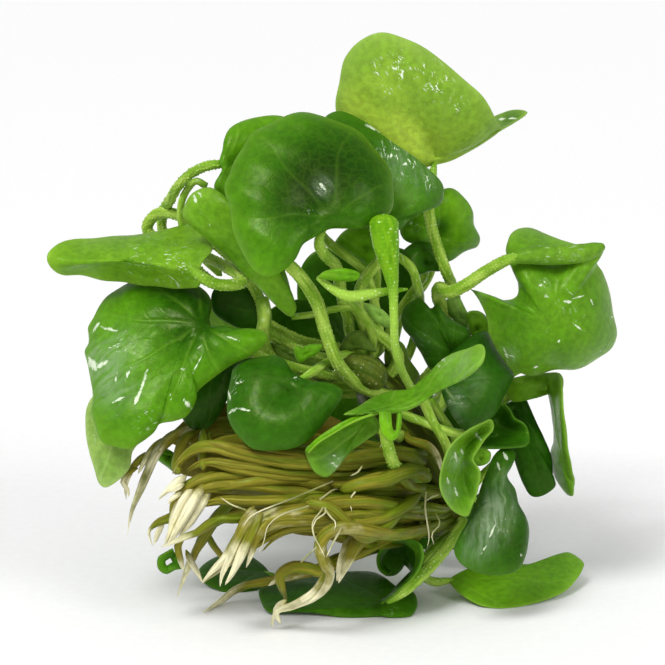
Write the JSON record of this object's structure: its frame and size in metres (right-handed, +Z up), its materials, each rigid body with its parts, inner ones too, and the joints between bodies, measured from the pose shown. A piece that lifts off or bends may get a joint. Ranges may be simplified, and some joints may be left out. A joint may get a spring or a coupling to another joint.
{
  "type": "floating heart",
  "caption": "Small floating-leaved water plant out of its pond: heart-shaped leaves on long bent stalks, a short crown and a mat of roots, resting on its lowest leaves.",
  "frame": {"origin": "on the ground, under the middle of the plant's bounding box", "axes": "+Z up; -Y towards the viewer of the picture; +X to that viewer's right, away from the side the roots spread to"},
  "size_m": [0.1421, 0.088, 0.145],
  "materials": {
    "crown": "rough short stem",
    "leaf_bright_green": "waxy wet leaf",
    "leaf_dark_green": "waxy wet leaf",
    "leaf_deep_green": "waxy wet leaf",
    "leaf_fresh_green": "waxy wet leaf",
    "leaf_middle_green": "waxy wet leaf",
    "leaf_pale_green": "waxy wet leaf",
    "leaf_yellow_green": "waxy wet leaf",
    "root": "wet root",
    "stalk": "smooth stalk with fine bumps"
  },
  "bodies": {
    "root": {"back_centre_leaf": "leaf_dark_green", "back_high_leaf": "leaf_middle_green", "back_left_leaf": "leaf_middle_green", "back_low_leaf": "leaf_dark_green", "back_right_leaf": "leaf_middle_green", "back_root_leaf": "leaf_middle_green", "back_top_leaf": "leaf_dark_green", "behind_front_leaf": "leaf_dark_green", "behind_front_stalk": "stalk", "bright_bud": "leaf_bright_green", "centre_leaf": "leaf_dark_green", "crescent_leaf": "leaf_fresh_green", "crown": "crown", "cupped_leaf": "leaf_dark_green", "dark_low_leaf": "leaf_dark_green", "dark_middle_leaf": "leaf_dark_green", "front_floor_leaf": "leaf_dark_green", "front_floor_stalk": "stalk", "front_leaf": "leaf_middle_green", "front_stalk": "stalk", "grey_gloss_leaf": "leaf_dark_green", "inner_bright_leaf": "leaf_bright_green", "inner_right_leaf": "leaf_dark_green", "left_dark_leaf": "leaf_deep_green", "left_floor_leaf": "leaf_dark_green", "left_glossy_leaf": "leaf_middle_green", "left_glossy_stalk": "stalk", "left_inner_leaf": "leaf_fresh_green", "left_inner_stalk": "stalk", "left_pale_leaf": "leaf_pale_green", "left_rolled_leaf": "leaf_bright_green", "left_rolled_stalk": "stalk", "right_back_dark_leaf": "leaf_dark_green", "right_back_leaf": "leaf_middle_green", "right_dark_leaf": "leaf_deep_green", "right_floor_leaf": "leaf_bright_green", "right_hanging_leaf": "leaf_fresh_green", "right_leaf": "leaf_fresh_green", "right_low_dark_leaf": "leaf_deep_green", "right_stalk": "stalk", "rolled_leaf": "leaf_bright_green", "root_1": "root", "root_10": "root", "root_11": "root", "root_12": "root", "root_2": "root", "root_3": "root", "root_4": "root", "root_5": "root", "root_6": "root", "root_7": "root", "root_8": "root", "root_9": "root", "top_leaf": "leaf_yellow_green", "top_stalk": "stalk", "upper_left_leaf": "leaf_middle_green", "upper_left_stalk": "stalk", "young_leaf": "leaf_fresh_green", "young_leaf_lower": "leaf_fresh_green", "young_stalk": "stalk"}
  },
  "joints": []
}
